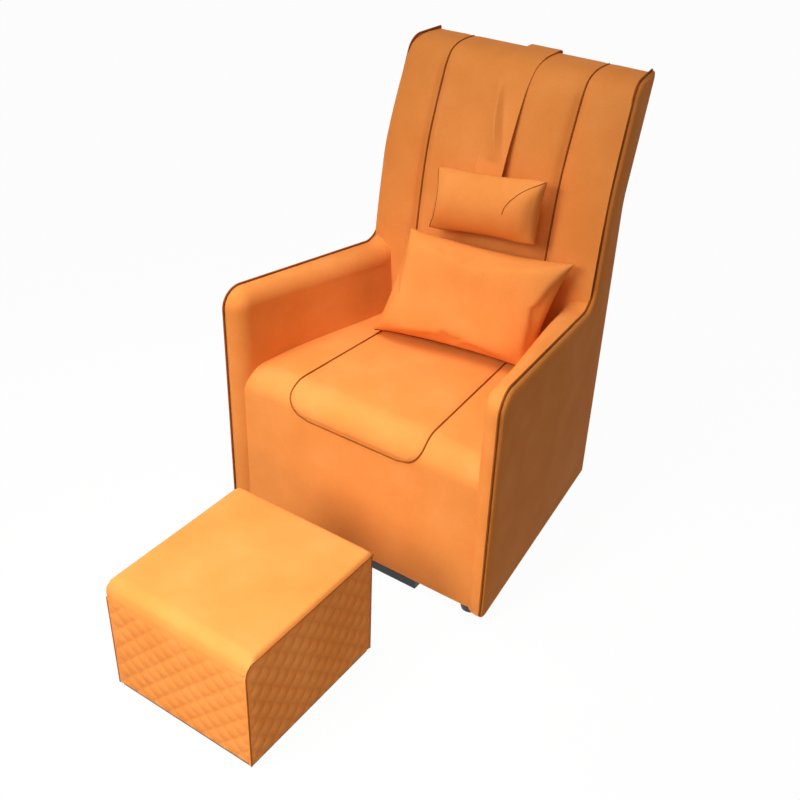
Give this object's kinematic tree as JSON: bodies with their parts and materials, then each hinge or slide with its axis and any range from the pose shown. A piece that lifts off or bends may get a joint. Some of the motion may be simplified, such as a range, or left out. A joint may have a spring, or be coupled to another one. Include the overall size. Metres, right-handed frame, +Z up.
{
  "type": "pedicure chair",
  "caption": "High-backed leather pedicure armchair with sprung seat, head pillow on a counterweighted strap, loose lumbar pillow and a quilted footstool.",
  "frame": {"origin": "on the floor, in the middle of the box that holds the chair and its footstool", "axes": "+Z up, the chair faces -Y, +X is to the right of someone who looks at its front"},
  "size_m": [0.7776, 1.4026, 1.1133],
  "materials": {
    "orange_leather": "smooth grained upholstery leather",
    "dark_welt": "thin dark leather welt",
    "plywood": "raw plywood",
    "foam": "cut polyurethane foam",
    "pillow_filling": "fibre filling in a cotton bag",
    "spring_steel": "drawn spring wire",
    "screw_steel": "zinc plated",
    "webbing": "woven elastic webbing",
    "dust_cloth": "bonded black cloth",
    "black_plastic": "moulded black plastic"
  },
  "bodies": {
    "chair": {"back_middle_rail": "plywood", "back_pad_center": "orange_leather", "back_pad_left": "orange_leather", "back_pad_right": "orange_leather", "back_top_rail": "plywood", "back_webbing": "webbing", "corner_blocks": "plywood", "dust_cover": "dust_cloth", "foot_screws": "screw_steel", "front_left_foot": "black_plastic", "front_plinth": "black_plastic", "front_rail": "plywood", "front_right_foot": "black_plastic", "front_strap": "orange_leather", "left_arm_cover": "orange_leather", "left_batten": "plywood", "left_side_board": "plywood", "left_side_cover": "orange_leather", "left_side_piping": "dark_welt", "lower_rear_rail": "plywood", "rear_cover": "orange_leather", "rear_left_foot": "black_plastic", "rear_right_foot": "black_plastic", "rear_strap": "orange_leather", "right_arm_cover": "orange_leather", "right_batten": "plywood", "right_side_board": "plywood", "right_side_cover": "orange_leather", "right_side_piping": "dark_welt", "roll_strap": "orange_leather", "seat_cover": "orange_leather", "seat_foam": "foam", "seat_panel": "orange_leather", "seat_rear_rail": "plywood", "seat_springs": "spring_steel", "spring_clips": "spring_steel", "top_strap": "orange_leather"},
    "head_pillow": {"head_pillow_cover": "orange_leather", "head_pillow_filling": "pillow_filling"},
    "counterweight": {"counterweight": "orange_leather"},
    "lumbar_pillow": {"lumbar_pillow_cover": "orange_leather", "lumbar_pillow_filling": "pillow_filling"},
    "footstool": {"stool_corner_cords": "dark_welt", "stool_foam": "foam", "stool_front_board": "plywood", "stool_front_panel": "orange_leather", "stool_glides": "black_plastic", "stool_left_board": "plywood", "stool_left_panel": "orange_leather", "stool_plinth": "black_plastic", "stool_rear_board": "plywood", "stool_rear_panel": "orange_leather", "stool_right_board": "plywood", "stool_right_panel": "orange_leather", "stool_screws": "screw_steel", "stool_top_board": "plywood", "stool_top_cover": "orange_leather"}
  },
  "joints": [
    {"name": "head_pillow_slide", "type": "slide", "parent": "chair", "child": "head_pillow", "axis": [0, 0.165, 0.9863], "range_m": [0, 0.11], "deforming": ["front_strap"]},
    {"name": "counterweight_slide", "type": "slide", "parent": "chair", "child": "counterweight", "axis": [0, 0, 1], "range_m": [-0.11, 0], "deforming": ["rear_strap"]},
    {"name": "lumbar_pillow_lift", "type": "slide", "parent": "chair", "child": "lumbar_pillow", "axis": [0, -0.9397, 0.342], "range_m": [0, 0.3]},
    {"name": "footstool_slide", "type": "slide", "parent": "chair", "child": "footstool", "axis": [0, -1, 0], "range_m": [-0.19, 0.3]}
  ],
  "couplings": [
    {"joint": "counterweight_slide", "follows": "head_pillow_slide", "ratio": -1}
  ]
}
